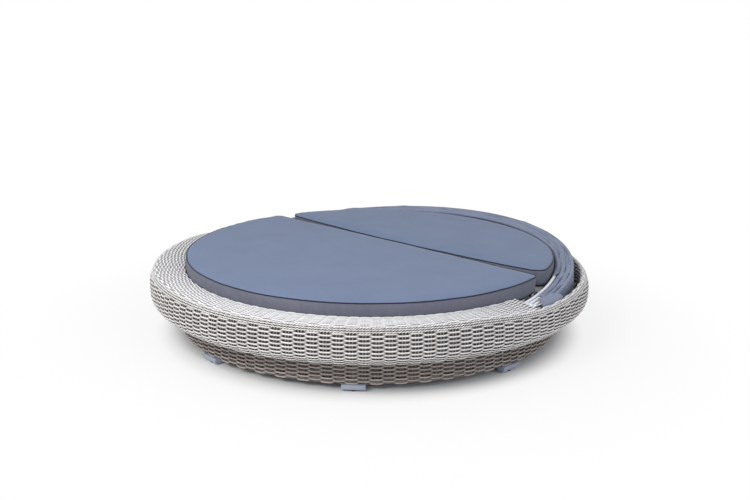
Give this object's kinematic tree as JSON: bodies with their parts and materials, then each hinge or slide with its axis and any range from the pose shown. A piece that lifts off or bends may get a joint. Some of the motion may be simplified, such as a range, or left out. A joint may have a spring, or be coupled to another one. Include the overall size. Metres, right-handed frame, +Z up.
{
  "type": "outdoor daybed with canopy",
  "caption": "Low round woven outdoor daybed with two half-moon cushions and a hooped fabric canopy folded into a well along its rear edge.",
  "frame": {"origin": "middle of the round ring, on the floor under the glides", "axes": "+Z up; +X to the right along the line of the canopy hinges; the open seat faces -Y and the folded canopy lies on the +Y side"},
  "size_m": [2.1, 2.1, 0.3872],
  "materials": {
    "wicker": "woven half-round polyethylene strand, light grey",
    "wicker_shaded": "the same woven strand on the base and inside the well",
    "frame_aluminium": "mill-finish welded tube",
    "foot_plastic": "moulded grey foot block",
    "glide_rubber": "black moulded glide",
    "bow_paint": "white powder coat on bent tube",
    "hinge_steel": "satin stainless steel",
    "washer_nylon": "black nylon",
    "canopy_cloth": "blue-grey woven canopy cloth",
    "cushion_cloth": "blue-grey slub-woven cushion cloth with dark piping"
  },
  "bodies": {
    "root": {"foot_1": "foot_plastic", "foot_2": "foot_plastic", "foot_3": "foot_plastic", "foot_4": "foot_plastic", "foot_5": "foot_plastic", "foot_6": "foot_plastic", "foot_7": "foot_plastic", "foot_8": "foot_plastic", "glide_1": "glide_rubber", "glide_2": "glide_rubber", "glide_3": "glide_rubber", "glide_4": "glide_rubber", "glide_5": "glide_rubber", "glide_6": "glide_rubber", "glide_7": "glide_rubber", "glide_8": "glide_rubber", "base_frame": "frame_aluminium", "deck_ring": "frame_aluminium", "ring_frame": "frame_aluminium", "deck_beam_1": "frame_aluminium", "deck_beam_2": "frame_aluminium", "deck_beam_3": "frame_aluminium", "deck_beam_4": "frame_aluminium", "deck_beam_5": "frame_aluminium", "deck_weave": "wicker", "base_weave": "wicker_shaded", "underside_weave": "wicker_shaded", "outer_weave": "wicker", "shelf_weave": "wicker", "well_wall_weave": "wicker", "well_floor_weave": "wicker_shaded", "curb_weave": "wicker", "shelf_end_right": "wicker", "shelf_end_left": "wicker", "bow_rear": "bow_paint", "bow_stay_right": "bow_paint", "bow_stay_rear": "bow_paint", "bow_stay_left": "bow_paint", "hinge_bracket_right": "hinge_steel", "hinge_rod_right": "hinge_steel", "hinge_nut_right": "hinge_steel", "hinge_washer_right_1": "washer_nylon", "hinge_washer_right_2": "washer_nylon", "hinge_washer_right_3": "washer_nylon", "hinge_bracket_left": "hinge_steel", "hinge_rod_left": "hinge_steel", "hinge_nut_left": "hinge_steel", "hinge_washer_left_1": "washer_nylon", "hinge_washer_left_2": "washer_nylon", "hinge_washer_left_3": "washer_nylon", "canopy_skirt": "canopy_cloth"},
    "third_bow": {"bow_third": "bow_paint", "canopy_rear_gore": "canopy_cloth"},
    "second_bow": {"bow_second": "bow_paint", "canopy_middle_gore": "canopy_cloth"},
    "front_bow": {"bow_front": "bow_paint", "canopy_front_gore": "canopy_cloth"},
    "front_cushion": {"cushion_front": "cushion_cloth"},
    "rear_cushion": {"cushion_rear": "cushion_cloth"}
  },
  "joints": [
    {"name": "canopy_third", "type": "hinge", "parent": "root", "child": "third_bow", "pos_m": [0, 0, 0.2756], "axis": [1, 0, 0], "range_deg": [0, 30], "deforming": ["canopy_rear_gore"]},
    {"name": "canopy_second", "type": "hinge", "parent": "third_bow", "child": "second_bow", "pos_m": [0, 0, 0.2756], "axis": [1, 0, 0], "range_deg": [0, 30], "deforming": ["canopy_middle_gore"]},
    {"name": "canopy_front", "type": "hinge", "parent": "second_bow", "child": "front_bow", "pos_m": [0, 0, 0.2756], "axis": [1, 0, 0], "range_deg": [0, 30], "deforming": ["canopy_front_gore"]},
    {"name": "front_cushion_lift", "type": "slide", "parent": "root", "child": "front_cushion", "axis": [0, 0, 1], "range_m": [0, 0.04]},
    {"name": "rear_cushion_lift", "type": "slide", "parent": "root", "child": "rear_cushion", "axis": [0, 0, 1], "range_m": [0, 0.04]}
  ],
  "couplings": [
    {"joint": "canopy_second", "follows": "canopy_third", "ratio": 1},
    {"joint": "canopy_front", "follows": "canopy_third", "ratio": 1}
  ]
}
